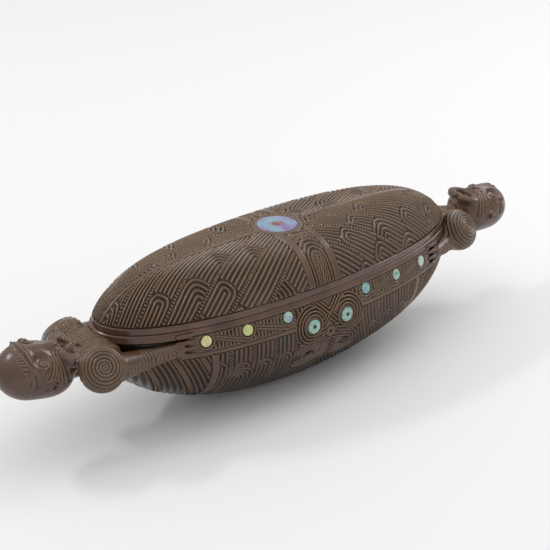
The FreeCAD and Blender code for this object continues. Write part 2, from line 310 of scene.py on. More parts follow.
def lid_pattern(x, y, girth):
    """Cut depth and plainness at points of the lid's top."""
    side_x = np.abs(x)
    radius = np.hypot(x, y)
    wander = 0.7 * np.sin(0.055 * x + 0.9) + 0.5 * np.sin(0.09 * y + 0.02 * x)
    # The rows leave the spine at a small angle and swing out towards the edge, like a palm leaf.
    fan = LID_FAN * (np.sqrt(girth + LID_FAN_START) - math.sqrt(LID_FAN_START))
    across = LID_FAN_SCALE * (fan - side_x) + LID_ROW_SHIFT + 12.0 * LID_BAND + wander
    along = 0.86 * side_x + 0.51 * girth
    seed = np.where(x > 0.0, 11.0, 0.0) + np.where(y > 0.0, 23.0, 0.0)
    cut = band_rows(along, across, seed, LID_PITCH, LID_NOTCH, LID_RIDGES)
    # Front and back panels: nested arches and a small figure between two plain ribs.
    arch = np.hypot(x, np.minimum(girth - ARCH_FOOT, 0.0) * 0.62)
    rungs = bars(girth, NOTCH_PITCH) * (side_x < 1.6) * (girth > ARCH_FOOT)
    zigzag = furrows(side_x + 2.6 * np.abs(np.mod(girth / 5.2, 1.0) - 0.5), 2.2)
    curl = np.hypot(side_x - CURL_PLACE[0], girth - CURL_PLACE[1])
    panel_cut = np.maximum(furrows(arch - 1.2, ARCH_PITCH), 0.8 * rungs)
    panel_cut = np.where((arch < ARCH_ZIGZAG) & (girth > ARCH_FOOT - 7.0), zigzag, panel_cut)
    panel_cut = np.where(curl < 4.6, furrows(curl - 1.0, 2.3), panel_cut)
    rail = window(side_x, PANEL_HALF + 0.3, PANEL_RIB - 0.4, 0.3)
    cut = np.where(side_x < PANEL_HALF, panel_cut, cut)
    cut = np.where(rail > 0.5, 0.0, cut)
    cut = np.maximum(cut, furrow_pair(side_x, PANEL_HALF, PANEL_RIB, 0.75))
    # Plain ribs along the middle, and the plain ring with its pointed ends round the disc.
    spine = np.abs(y + SPINE_SHIFT) - (SPINE_HALF - 0.004 * side_x)
    cut = np.where(spine < 0.0, 0.0, cut)
    cut = np.where(np.abs(spine) < 0.8, np.maximum(cut * (spine > 0), furrow(spine, 0.8)), cut)
    reach = np.where(x > 0.0, RING_POINTS[1], RING_POINTS[0])
    ring = np.maximum(RING_RADIUS - radius, (reach - side_x) * 0.55 - np.abs(y))
    cut = np.where(ring > 0.0, 0.0, cut)
    cut = np.where(np.abs(ring) < 0.8, np.maximum(cut, furrow(ring, 0.8)), cut)
    angle = np.arctan2(y, x)
    behind = bars(angle * 17.6, NOTCH_PITCH) * window(radius, 16.9, 18.8, 0.3)
    cut = np.where((angle > 0.25) & (angle < 2.7) & (radius < 19.5), behind, cut)
    plain = np.maximum(np.maximum(rail, (spine < 0.0) * 1.0), (ring > 0.0) * 1.0)
    return cut, plain


def lid_height(x, y):
    """Height of the lid's top above its spring line."""
    share = plan_reach(x, y, LID_LENGTH, LID_WIDTH)
    half_power = 0.5 * PLAN_POWER
    along = (np.abs(x) / LID_LENGTH) ** half_power / np.maximum(share, 1e-6) ** half_power
    power = LID_POWER + LID_POWER_END * along ** 2
    height = np.clip(1.0 - np.clip(share, 0.0, 1.0) ** power, 0.0, 1.0) ** LID_ROUND
    return LID_RISE * np.minimum(height, CROWN)


GIRTH_TABLE = 240
GIRTH_SPREAD = 0.6


def lid_girth(x, y):
    """Distance over the lid from its middle line, at a constant x."""
    tables_x = np.linspace(0.0, LID_LENGTH, GIRTH_TABLE)
    shares = np.linspace(0.0, 1.0, GIRTH_TABLE) ** GIRTH_SPREAD
    grid_y = half_across(tables_x, LID_LENGTH, LID_WIDTH)[:, None] * shares[None, :]
    grid_z = lid_height(np.repeat(tables_x[:, None], GIRTH_TABLE, 1), grid_y)
    step = np.hypot(np.diff(grid_y, axis=1), np.diff(grid_z, axis=1))
    girth = np.concatenate([np.zeros((GIRTH_TABLE, 1)), np.cumsum(step, axis=1)], 1)
    half_here = half_across(x, LID_LENGTH, LID_WIDTH)
    share = np.clip(np.abs(y) / np.maximum(half_here, 1e-6), 0.0, 1.0)
    last = GIRTH_TABLE - 1.0
    row = np.abs(x) / LID_LENGTH * last
    column = share ** (1.0 / GIRTH_SPREAD) * last
    row_0 = np.clip(row.astype(int), 0, GIRTH_TABLE - 2)
    column_0 = np.clip(column.astype(int), 0, GIRTH_TABLE - 2)
    part_row = np.clip(row - row_0, 0.0, 1.0)
    part_column = np.clip(column - column_0, 0.0, 1.0)

    def along_row(number):
        """Girth in a row of the table, between two columns."""
        low = girth[number, column_0] * (1 - part_column)
        return low + girth[number, column_0 + 1] * part_column

    return along_row(row_0) * (1 - part_row) + along_row(row_0 + 1) * part_row


def make_lid():
    """Lid: carved top, plain upright edge, flange and hollow, as one closed mesh."""
    columns, rows = LID_GRID
    u, v = np.meshgrid(np.linspace(-1, 1, columns), np.linspace(-1, 1, rows))
    disc_u = u * np.sqrt(1.0 - 0.5 * v * v)
    disc_v = v * np.sqrt(1.0 - 0.5 * u * u)
    reach = np.hypot(disc_u, disc_v)
    turn = np.arctan2(disc_v, disc_u)
    # Even spacing over the curved top at the middle of the lid.
    test = np.linspace(0.0, 1.0, 2000)
    height = lid_height(np.zeros(2000), test * LID_WIDTH)
    girth = np.concatenate([[0.0], np.cumsum(np.hypot(np.diff(test * LID_WIDTH), np.diff(height)))])
    share = np.interp(np.clip(reach, 0, 1) * girth[-1], girth, test)
    x, y = outline(LID_LENGTH, LID_WIDTH, turn)
    x = x * share
    y = y * share
    z = lid_height(x, y)
    base = np.stack([x, y, z + LID_SPRING], -1)
    normal = grid_normals(base, False)
    cut, plain = lid_pattern(x, y, lid_girth(x, y))
    # The carved field ends at a groove just above the plain edge.
    half_girth = girth[-1] * (1.0 - reach)
    field = smooth(1.2, 1.9, half_girth)
    cut = cut * field
    cut = np.maximum(cut, furrow(half_girth - LID_EDGE, 0.7))
    cut[0, :] = cut[-1, :] = 0.0
    cut[:, 0] = cut[:, -1] = 0.0
    radius = np.hypot(x, y)
    top = base - normal * (CUT_DEPTH * cut)[..., None]
    top[..., 2] -= LID_POCKET * (1.0 - smooth(DISC_RADIUS - 1.1, DISC_RADIUS - 0.4, radius))
    edge_wear_and_highlight = wear_and_highlight(cut, False)
    # Rim of the sheet, as one loop that runs counter-clockwise.
    index = np.arange(rows * columns).reshape(rows, columns)
    loop = np.concatenate([index[0, :-1], index[:-1, -1], index[-1, :0:-1], index[:0:-1, 0]])
    count = len(loop)
    flat = top.reshape(-1, 3)
    rim = base.reshape(-1, 3)[loop]
    flat[loop] = rim
    angle = np.arctan2(disc_v.ravel()[loop], disc_u.ravel()[loop])
    levels = []
    for step in range(1, 9):
        level = rim.copy()
        level[:, 2] = LID_SPRING + (LID_FOOT + 0.35 - LID_SPRING) * step / 8.0
        levels.append(level)
    inset = rim * np.array([0.9975, 0.993, 1.0])
    inset[:, 2] = LID_FOOT
    levels.append(inset)

    def ring(half_length, half_width, z_level):
        """Level loop of these half sizes, in step with the rim."""
        ring_x, ring_y = outline(half_length, half_width, angle)
        return np.stack([ring_x, ring_y, np.full(count, z_level)], -1)

    # Flange from the lid's foot down, its lower edge and its inner side, as (inset, height).
    foot = RIM - FLANGE_DEPTH
    long_half = CAVITY_LENGTH - FLANGE_CLEARANCE
    short_half = CAVITY_WIDTH - FLANGE_CLEARANCE
    for inset, z_level in ((-0.3, LID_FOOT), (0.0, LID_FOOT - 0.4), (0.0, foot + 0.3), (0.4, foot),
                           (3.6, foot), (4.0, foot + 0.3)):
        levels.append(ring(long_half - inset, short_half - inset, z_level))
    # Hollow under the crown.
    for height_share in (0.0, 0.2, 0.4, 0.6, 0.77, 0.88, 0.945, 0.98, 0.995):
        height_here = height_share ** (1.0 / LID_ROUND)
        power = LID_POWER + LID_POWER_END * np.cos(angle) ** 2
        scale = (1.0 - height_here) ** (1.0 / power)
        level = ring(long_half - 4.0, short_half - 4.0, LID_SPRING + (LID_RISE - LID_WALL) * height_share)
        level[:, :2] *= scale[:, None]
        levels.append(level)
    for shrink in (0.75, 0.6, 0.6, 0.6):
        last = levels[-1].copy()
        last[:, :2] *= shrink
        levels.append(last)
    first = rows * columns
    centre = np.array([[0.0, 0.0, levels[-1][0, 2]]])
    points = np.concatenate([flat, *levels, centre])
    number = np.arange(count)
    after = (number + 1) % count
    walls = [np.stack([loop[after], loop[number], first + number, first + after], -1)]
    for step in range(len(levels) - 1):
        here = first + step * count
        walls.append(np.stack([here + after, here + number, here + count + number,
                               here + count + after], -1))
    walls.append(cap_faces(first + (len(levels) - 1) * count, count, len(points) - 1, False))
    pad = len(points) - first
    attributes = {"cut": np.concatenate([cut.ravel(), np.zeros(pad)]),
                  "wear_and_highlight": np.concatenate([edge_wear_and_highlight.ravel(), np.zeros(pad)]),
                  "plain": np.concatenate([plain.ravel() * field.ravel() + (1 - field.ravel()),
                                           np.ones(pad)])}
    top_uv = np.stack([0.02 + 0.96 * (u.ravel() + 1) / 2, 0.30 + 0.68 * (v.ravel() + 1) / 2], -1)
    ring_rows = np.repeat(np.arange(len(levels)), count)
    ring_uv = np.stack([0.02 + 0.96 * np.tile(number / count, len(levels)),
                        0.02 + 0.25 * ring_rows / len(levels)], -1)
    uv = np.concatenate([top_uv, ring_uv, [[0.5, 0.28]]])
    return new_object("lid_carved", points, [sheet_quads(rows, columns)] + walls, attributes, uv)


# ---- Carved pattern of the hull's long sides. ----
# A place on a side is its distance from the middle of the box and its girth: the distance down
# the surface from the rim.
HULL_PITCH = 3.7
HULL_NOTCH = 3.6
HULL_BAND = HULL_NOTCH + 4 * HULL_PITCH
NOTCH_STEP = 2.6
HOOK_GIRTH = 32.0
FLANK_LOOP = (79.0, 84.0, 64.0)
FLANK_RADIUS = 11.9
RIB_PLACE = 101.0
RIB_HALF = 3.0
END_BAND = 15.4
END_NOTCH = 3.3
LIP = 4.4
BAND_TOP = 4.8
BAND_FOOT = 18.3
RAIL_FOOT = 21.9
RAIL_END = 125.0
MASK_HALF = 33.0
MASK_DEPTH = 1.25
MOUTH_HALF = 19.0
MOUTH_GIRTH = 48.5
MOUTH_REACH = 15.4
MOUTH_PITCH = 2.9
NOSE_GIRTH = 31.5
BROW_GIRTH = 17.0
BROW_SLOPE = 0.95
BROW_HALF = 4.2
EYE_PITCH = 2.75
KEEL_PLAIN = (84.0, 96.0)
HULL_GRID = (1500, 200)


def side_field(x, side, girth, front):
    """Cut and plainness of the open field: ridges, notches, hooks, loops and the end ribs."""
    lean = np.where(front & (x < 0), -0.12, np.where(front, 0.62, 0.25))
    slope = np.maximum(girth - 26.0, 0.0)
    drift = side - lean * slope * (1.0 - np.exp(-slope / 22.0))
    # Near-upright ridges with columns of notches.
    key = np.floor((drift + 6.0) / HULL_BAND)
    level = (drift + 6.0) - key * HULL_BAND
    ridge = furrows(level - HULL_NOTCH, HULL_PITCH)
    column = bars(girth + 0.9 * level, NOTCH_STEP) * window(level, 0.7, HULL_NOTCH - 0.7, 0.35)
    edge = furrow_pair(level, 0.0, HULL_NOTCH, 0.8)
    cut = np.where(level < HULL_NOTCH, np.maximum(column, edge), ridge)
    # Hooks that break the ridges.
    seed = key + np.where(x > 0, 5.0, 0.0) + np.where(front, 0.0, 9.0)
    local = girth - (HOOK_GIRTH + 14.0 * chance(seed))
    bend = np.hypot(level - (HULL_NOTCH + 2 * HULL_PITCH), np.minimum(local, 0.0))
    on_ridges = level > HULL_NOTCH
    hook = on_ridges & (local > -2.2 * HULL_PITCH) & (bend < 2 * HULL_PITCH)
    pit = on_ridges & (local < 0.0) & (local > -1.6 * HULL_PITCH) & (bend > 2.1 * HULL_PITCH)
    cut = np.where(hook, furrows(bend, HULL_PITCH), cut)
    cut = np.where(pit, 1.2, cut)
    # Nested loops on the flank.
    loop_x = np.where(x < 0, FLANK_LOOP[0], FLANK_LOOP[1])
    loop = np.hypot((drift - loop_x), np.maximum(np.abs(girth - FLANK_LOOP[2]) - 13.0, 0.0))
    cut = np.where(loop < FLANK_RADIUS, furrows(loop - 1.7, 3.4), cut)
    # Leaning ridges beyond a slanted plain rib near the end figures.
    rib = side - (RIB_PLACE - 0.12 * (girth - 21.0))
    beyond = (side - 104.0) * 0.82 + (girth - 30.0) * 0.46
    level = beyond - np.floor(beyond / END_BAND) * END_BAND
    row = bars(girth - 0.4 * side, NOTCH_STEP) * window(level, 0.7, 2.6, 0.35)
    end_cut = np.where(level < END_NOTCH, np.maximum(row, furrow(level, 0.8)),
                       furrows(level - END_NOTCH, 3.03))
    cut = np.where(rib > RIB_HALF, end_cut, cut)
    cut = np.where(np.abs(rib) < RIB_HALF, 0.0, cut)
    cut = np.maximum(cut, furrow(np.abs(rib) - 3.1, 0.8) * (girth > 20.0))
    return cut, 1.0 - smooth(2.4, 3.2, np.abs(rib))


def mask_field(cut, side, girth):
    """Cut with the mask in it: mouth, nose, crossed bands and ringed eyes."""
    arch = 5.0 * np.clip(1.0 - (side / MOUTH_HALF) ** 2, 0.0, 1.0)
    mouth = np.hypot(np.maximum(side - MOUTH_HALF, 0.0), girth - (MOUTH_GIRTH - arch))
    lips = furrows(mouth - 3.9, MOUTH_PITCH)
    opening = np.hypot((side - 18.0) / 5.4, (girth - 48.0) / 3.8)
    mouth_cut = np.where(mouth < 3.0, 0.25, lips)
    mouth_cut = np.maximum(mouth_cut, 2.2 * (1.0 - smooth(0.85, 1.15, opening)))
    tongue = window(side, -1.0, 8.0, 0.4) * (girth > 40.0) * (girth < 58.0)
    weave = furrows(girth - 0.8 * side, MOUTH_PITCH)
    mouth_cut = np.where(tongue > 0.5, weave, mouth_cut)
    cut = np.where((mouth < MOUTH_REACH) & (side < 35.0), mouth_cut, cut)
    nose = np.hypot(side, girth - NOSE_GIRTH)
    nose_cut = np.maximum(furrow(nose - 5.0, 0.9), 1.4 * (1.0 - smooth(1.4, 2.0, nose)))
    cut = np.where((side < 8.0) & (girth > 24.0) & (girth < 40.0), lips, cut)
    cut = np.where(nose < 5.6, nose_cut, cut)
    eye = np.hypot(side - EYE_PLACE[0], (girth - EYE_PLACE[1] - 0.4))
    brow = (side < 13.0) & (girth > 5.0) & (girth < 27.0)
    slant = BROW_SLOPE * (girth - BROW_GIRTH)
    length = math.sqrt(2.0 * BROW_SLOPE)
    cross = np.minimum(np.abs((side + slant) / length), np.abs((side - slant) / length))
    cross_cut = np.where(cross < BROW_HALF, furrows(cross - 1.3, 2.6), 0.35)
    cut = np.where(brow, cross_cut, cut)
    ringed = (eye < 16.8) & (eye < mouth + 6.0) & (side > 6.0)
    ringed = ringed & ~((cross < BROW_HALF) & (eye > 9.7) & (side < 16.0))
    cut = np.where(ringed, furrows(eye - 7.0, EYE_PITCH), cut)
    cut = np.where(eye < 6.9, 0.25, cut)
    in_mask = (side < MASK_HALF + 1.0) & (girth > 5.0) & (girth < 64.0)
    return np.where(in_mask, MASK_DEPTH * cut, cut)


def disc_band(side, girth):
    """Cut of the band of discs: frames, double diagonals and rows of short notches."""
    cut = np.full(side.shape, 0.12)
    for (outer, _), (inner, _) in zip(BAND_DISCS, BAND_DISCS[1:]):
        share = (outer - side) / (outer - inner)
        line = girth - (7.0 + 10.0 * share)
        ribbon = furrow(line, 0.55) * 0.8 + furrow(np.abs(line) - 2.2, 0.6)
        ribbon = np.where(np.abs(line) < 2.3, ribbon, 0.0)
        teeth = bars(side, 2.9, 0.6)
        above = teeth * window(line, -9.0, -2.6, 0.3) * window(girth, 5.6, 16.0, 0.3)
        below = teeth * window(line, 2.6, 9.0, 0.3) * window(girth, 6.0, 17.4, 0.3)
        bay = np.where(np.abs(line) < 2.5, ribbon, np.maximum(above, below))
        cut = np.where((share > 0.0) & (share < 1.0), bay, cut)
    for disc_x, drop in BAND_DISCS:
        place = np.hypot(side - disc_x, girth - drop - 0.6)
        frame_cut = np.maximum(furrow(place - 5.0, 0.8), 0.7 * furrow(place - 7.1, 0.7))
        cut = np.where(place < 7.6, frame_cut, cut)
    return cut


def hull_pattern(x, girth, front):
    """Cut depth and plainness at points of the hull's side."""
    side = np.abs(x)
    cut, plain = side_field(x, side, girth, front)
    cut = mask_field(cut, side, girth)
    # Plain rib below the disc band.
    railed = (side > MASK_HALF) & (side < RAIL_END)
    rail = window(girth, BAND_FOOT + 0.3, RAIL_FOOT - 0.3, 0.3) * railed
    cut = np.where(rail > 0.5, 0.0, cut)
    cut = np.where(railed, np.maximum(cut, furrow_pair(girth, BAND_FOOT, RAIL_FOOT, 0.8)), cut)
    in_band = (girth > BAND_TOP) & (girth < BAND_FOOT) & (side > MASK_HALF)
    cut = np.where(in_band, disc_band(side, girth), cut)
    # Plain wood behind the hands, with a shallow recess, and the plain lip.
    recess = window(girth, 6.2, 17.0, 0.9) * smooth(118.0, 126.0, side)
    cut = np.where((side > 113.0) & (girth < 17.5), 0.0, cut)
    cut = np.maximum(cut, 1.7 * recess)
    cut = np.where(girth < LIP, 0.0, cut)
    cut = np.maximum(cut, furrow(girth - BAND_TOP, 0.8) * (side < 116.0))
    plain = np.maximum(plain * (girth > 20.0), np.maximum(rail, 1.0 * (girth < LIP + 0.2)))
    fade = 1.0 - smooth(*KEEL_PLAIN, girth)
    return cut * fade, np.maximum(plain, 1.0 - fade)


def make_hull():
    """Hull without its end figures: carved outside, rim and cavity, as one closed mesh."""
    columns, rows = HULL_GRID
    turn = even_turns(HALF_LENGTH, HALF_WIDTH, columns)
    shares = np.linspace(0.0, RIM / KEEL_DEPTH, 1500)
    width = HALF_WIDTH * hull_scale(shares)
    depth = KEEL_DEPTH * shares
    arc = np.concatenate([[0.0], np.cumsum(np.hypot(np.diff(width), np.diff(depth)))])
    girth = np.linspace(arc[-1], 0.0, rows)
    share = np.interp(girth, arc, shares)
    long_half = HALF_LENGTH * keel_scale(share)
    short_half = HALF_WIDTH * hull_scale(share)
    unit_x, unit_y = outline(1.0, 1.0, turn)
    base = np.stack([long_half[:, None] * unit_x[None], short_half[:, None] * unit_y[None],
                     np.repeat((RIM - KEEL_DEPTH * share)[:, None], columns, 1)], -1)
    normal = grid_normals(base, True)
    girth_grid = np.repeat(girth[:, None], columns, 1)
    cut, plain = hull_pattern(base[..., 0], girth_grid, base[..., 1] < 0.0)
    # Pockets under the shell inlays.
    pocket = np.zeros(cut.shape)
    near = np.abs(base[..., 1]) > 25.0
    inlays = [(*place, SHELL_RADIUS) for place in BAND_DISCS] + [(*EYE_PLACE, EYE_RADIUS)]
    for place_x, drop, radius in inlays:
        reach = np.sqrt((np.abs(base[..., 0]) - place_x) ** 2 + (base[..., 2] - (RIM - drop)) ** 2)
        sunk = 1.0 - smooth(radius - 1.0, radius - 0.4, reach)
        pocket = np.where(near, np.maximum(pocket, sunk), pocket)
        cut = np.where(near & (reach < radius + 0.5), 0.25 * (reach > radius - 0.2), cut)
    cut[0] = 0.0
    cut[-1] = 0.0
    outer = base - normal * (CUT_DEPTH * cut + SHELL_POCKET * pocket)[..., None]
    outer[0] = base[0]
    outer[-1] = base[-1]
    edge_wear_and_highlight = wear_and_highlight(cut, True)
    levels = []
    inner_x, inner_y = outline(CAVITY_LENGTH, CAVITY_WIDTH, turn)
    for blend in (0.3, 0.7, 1.0):
        level = base[-1] * (1.0 - blend)
        level[:, 0] += inner_x * blend
        level[:, 1] += inner_y * blend
        level[:, 2] = RIM
        levels.append(level)
    for cavity_share in np.concatenate([np.linspace(0.03, 0.8, 12), (0.86, 0.91, 0.95, 0.975, 0.99)]):
        scale_x = keel_scale(cavity_share)
        scale_y = cavity_scale(cavity_share)
        z_here = RIM - CAVITY_DEPTH * cavity_share
        levels.append(np.stack([inner_x * scale_x, inner_y * scale_y,
                                np.full(columns, z_here)], -1))
    for shrink in (0.6, 0.3):
        level = levels[-1].copy()
        level[:, :2] *= shrink
        level[:, 2] = RIM - CAVITY_DEPTH
        levels.append(level)
    inside = np.stack(levels)
    bottom = np.stack([base[0] * np.array([shrink, shrink, 1.0]) for shrink in (0.3, 0.7)])
    grid = np.concatenate([bottom, outer, inside])
    total = len(grid)
    points = np.concatenate([grid.reshape(-1, 3), [[0.0, 0.0, 0.0]], [[0.0, 0.0, RIM - CAVITY_DEPTH]]])
    low_fan = cap_faces(0, columns, total * columns, False)
    high_fan = cap_faces((total - 1) * columns, columns, total * columns + 1, True)

    def spread(values, fill):
        """Values of the outside, with a fill for the bottom and the inside."""
        head = np.full((2, columns), fill)
        tail = np.full((len(levels), columns), fill)
        return np.concatenate([np.concatenate([head, values, tail]).ravel(), [fill, fill]])

    attributes = {"cut": spread(cut, 0.0), "wear_and_highlight": spread(edge_wear_and_highlight, 0.0), "plain": spread(plain, 1.0)}
    row_place = np.concatenate([[0.0, 0.01], np.linspace(0.02, 0.8, rows),
                                np.linspace(0.81, 0.99, len(levels))])
    column_place = 0.01 + 0.98 * np.arange(columns) / columns
    uv = np.stack([np.tile(column_place, total), np.repeat(row_place, columns)], -1)
    uv = np.concatenate([uv, [[0.5, 0.0]], [[0.5, 1.0]]])
    return new_object("hull_carved", points, [ring_quads(total, columns), low_fan, high_fan],
                      attributes, uv)


# ---- End figures: solid modelling with distance fields. ----
# elbow is its drop below the rim and the arm's radius there; tilt and roll turn the head.
FIGURES = (
    {"name": "figure_left", "side": -1.0, "elbow": (17.5, 7.8), "head": (-221.0, 0.0, 71.5), "tilt": 12.0,
     "roll": 18.0, "size": 1.0,
     "shoulders": ((-185.5, -29.5, 70.6), (-178.0, 27.0, 72.0)), "hand_x": -121.0,
     "chest": (-176.0, 0.0, 71.0)},
    {"name": "figure_right", "side": 1.0, "elbow": (12.5, 6.2), "head": (216.0, 0.0, 73.5), "tilt": -4.0,
     "roll": 4.0, "size": 0.9,
     "shoulders": ((166.0, -28.0, 76.5), (173.0, 27.0, 74.5)), "hand_x": 124.0,
     "chest": (170.0, 0.0, 71.0)},
)
VOXEL = 0.75
FIGURE_CUT = 1.15
# Space that a figure is modelled in: from and to along, half across, and from and to in height.
FIGURE_SPACE = (112.0, 256.0, 54.0, 40.0, 103.0)
# Head places as (towards the crown, sideways from the middle).
HEAD_EYE = (6.6, 12.8)
HEAD_MOUTH = -19.5
FACE_PITCH = 2.4
PLATE_RADIUS = 16.6
SPIRAL_PITCH = 2.7
ARM_NOTCH = 2.9
CHEST_BAND = 6.6


def blend_union(first, second, radius):
    """Union of two distance fields with a fillet."""
    share = np.clip(0.5 + 0.5 * (second - first) / radius, 0.0, 1.0)
    return second + (first - second) * share - radius * share * (1.0 - share)


def blend_cut(body, tool, radius):
    """Body less a tool, with a softened edge."""
    share = np.clip(0.5 - 0.5 * (body + tool) / radius, 0.0, 1.0)
    return body + (-tool - body) * share + radius * share * (1.0 - share)


def ellipsoid(p, centre, radii):
    """Distance field of an ellipsoid, close to true near its surface."""
    q = [(p[i] - centre[i]) / radii[i] for i in range(3)]
    reach = np.sqrt(q[0] ** 2 + q[1] ** 2 + q[2] ** 2)
    slope = np.sqrt(sum((q[i] / radii[i]) ** 2 for i in range(3)))
    return reach * (reach - 1.0) / np.maximum(slope, 1e-6)


def cone_limb(p, start, end, radius_start, radius_end):
    """Limb with a round section that tapers from start to end."""
    span = [end[i] - start[i] for i in range(3)]
    length = sum(s * s for s in span)
    share = sum((p[i] - start[i]) * span[i] for i in range(3)) / length
    share = np.clip(share, 0.0, 1.0)
    away = np.sqrt(sum((p[i] - start[i] - share * span[i]) ** 2 for i in range(3)))
    return away - (radius_start + (radius_end - radius_start) * share)


def lens(p, centre, axis, radius, half, edge):
    """Thick round plate with rounded edges, square to an axis."""
    axis = unit(axis)
    q = [p[i] - centre[i] for i in range(3)]
    along = q[0] * axis[0] + q[1] * axis[1] + q[2] * axis[2]
    out = np.sqrt(np.maximum(q[0] ** 2 + q[1] ** 2 + q[2] ** 2 - along ** 2, 0.0))
    over = np.maximum(np.abs(along) - (half - edge), 0.0)
    wide = np.maximum(out - (radius - edge), 0.0)
    return np.hypot(over, wide) - edge


def head_frame(figure, p):
    """Head coordinates in full-size millimetres: towards the crown, sideways, out of the face."""
    tilt = math.radians(figure["tilt"])
    side = figure["side"]
    centre = figure["head"]
    dx = side * (p[0] - centre[0])
    dz = p[2] - centre[2]
    crown = dx * math.cos(tilt) + dz * math.sin(tilt)
    face = -dx * math.sin(tilt) + dz * math.cos(tilt)
    roll = math.radians(figure["roll"])
    across = (p[1] - centre[1]) * math.cos(roll) + face * math.sin(roll)
    face = face * math.cos(roll) - (p[1] - centre[1]) * math.sin(roll)
    size = figure["size"]
    return crown / size, across / size, face / size


def head_field(figure, p):
    """Distance field of a head."""
    crown, across, face = head_frame(figure, p)
    flank = np.abs(across)
    h = (crown, across, face)
    m = (crown, flank, face)
    field = ellipsoid(h, (5.5, 0.0, -0.5), (25.6, 20.6, 21.0))
    field = blend_union(field, ellipsoid(h, (-11.0, 0.0, -2.0), (19.5, 19.6, 18.6)), 7.0)
    brow = cone_limb(m, (15.5, 2.5, 18.6), (13.5, 17.5, 11.6), 1.8, 1.3)
    field = blend_union(field, brow, 3.0)
    field = blend_cut(field, ellipsoid(m, (7.0, 12.6, 18.4), (6.4, 7.0, 4.0)), 2.4)
    field = blend_union(field, ellipsoid(m, (*HEAD_EYE, 12.4), (4.8, 5.4, 4.2)), 0.8)
    nose = cone_limb(h, (11.0, 0.0, 18.8), (-7.5, 0.0, 19.4), 1.7, 3.6)
    field = blend_union(field, nose, 2.4)
    field = blend_union(field, ellipsoid(m, (-8.5, 4.4, 17.2), (3.4, 3.2, 3.2)), 1.2)
    muzzle = ellipsoid(h, (-19.0, 0.0, 7.0), (11.0, 15.0, 10.0))
    field = blend_union(field, muzzle, 3.5)
    lip_reach = np.hypot(crown - HEAD_MOUTH, across * 0.58)
    lips = np.hypot(lip_reach - 6.8, face - 15.6 + 0.05 * flank) - 3.7
    field = blend_union(field, lips, 1.6)
    field = blend_cut(field, ellipsoid(h, (HEAD_MOUTH, 0.0, 19.0), (4.2, 9.0, 8.5)), 1.0)
    tongue = cone_limb(h, (-18.0, 0.0, 12.5), (-28.0, 0.0, 18.6), 3.1, 2.4)
    field = blend_union(field, tongue, 0.8)
    curl = np.hypot(np.hypot(crown + 17.5, flank - 13.0) - 3.0, face - 13.0) - 1.7
    field = blend_union(field, curl, 0.9)
    field = blend_union(field, ellipsoid(h, (-29.0, 0.0, 8.0), (5.2, 6.4, 6.0)), 3.0)
    ear = ellipsoid(m, (-2.0, 19.8, -0.5), (5.4, 3.0, 4.4))
    field = blend_union(field, ear, 2.0)
    field = blend_cut(field, ellipsoid(m, (-3.8, 22.8, 0.2), (1.7, 4.0, 1.9)), 0.6)
    field = blend_cut(field, ellipsoid(m, (1.6, 22.4, -1.6), (1.3, 3.0, 1.8)), 0.6)
    return field * figure["size"]


def inside_hull(p):
    """Rough depth below the hull's own surface, positive inside."""
    drop = np.maximum(RIM - p[2], 0.0)
    share = np.minimum(drop / KEEL_DEPTH, 0.97)
    long_half = HALF_LENGTH * keel_scale(share)
    short_half = HALF_WIDTH * hull_scale(share)
    qx = np.abs(p[0]) / long_half
    qy = np.abs(p[1]) / short_half
    level = (qx ** PLAN_POWER + qy ** PLAN_POWER) ** (1.0 / PLAN_POWER)
    slope = np.hypot(qx ** (PLAN_POWER - 1) / long_half, qy ** (PLAN_POWER - 1) / short_half)
    return (1.0 - level) / np.maximum(slope, 1e-5)


def hull_half(x, drop):
    """Half width of the hull at x and at a drop below the rim."""
    share = drop / KEEL_DEPTH
    return half_across(x, HALF_LENGTH * keel_scale(share), HALF_WIDTH * hull_scale(share))


def arm_points(figure, flank):
    """Shoulder, elbow and wrist of one arm."""
    side = figure["side"]
    shoulder = figure["shoulders"][0 if flank < 0 else 1]
    hand = abs(figure["hand_x"])
    middle = 0.45 * abs(shoulder[0]) + 0.55 * hand
    drop = figure["elbow"][0]
    elbow = (side * middle, flank * (hull_half(middle, drop) + 0.4), RIM - drop)
    wrist = (side * (hand + 5.0), flank * (hull_half(hand + 5.0, 12.0) - 1.4), RIM - 12.5)
    start = (shoulder[0] - side * 4.0, shoulder[1] - flank * 2.0, shoulder[2] - 4.5)
    return start, elbow, wrist


def shoulder_axis(side, flank):
    """Direction that a shoulder's spiral faces."""
    if flank < 0:
        return unit((side * 0.26, flank * 0.74, 0.56))
    return unit((side * 0.34, 0.42, 0.84))


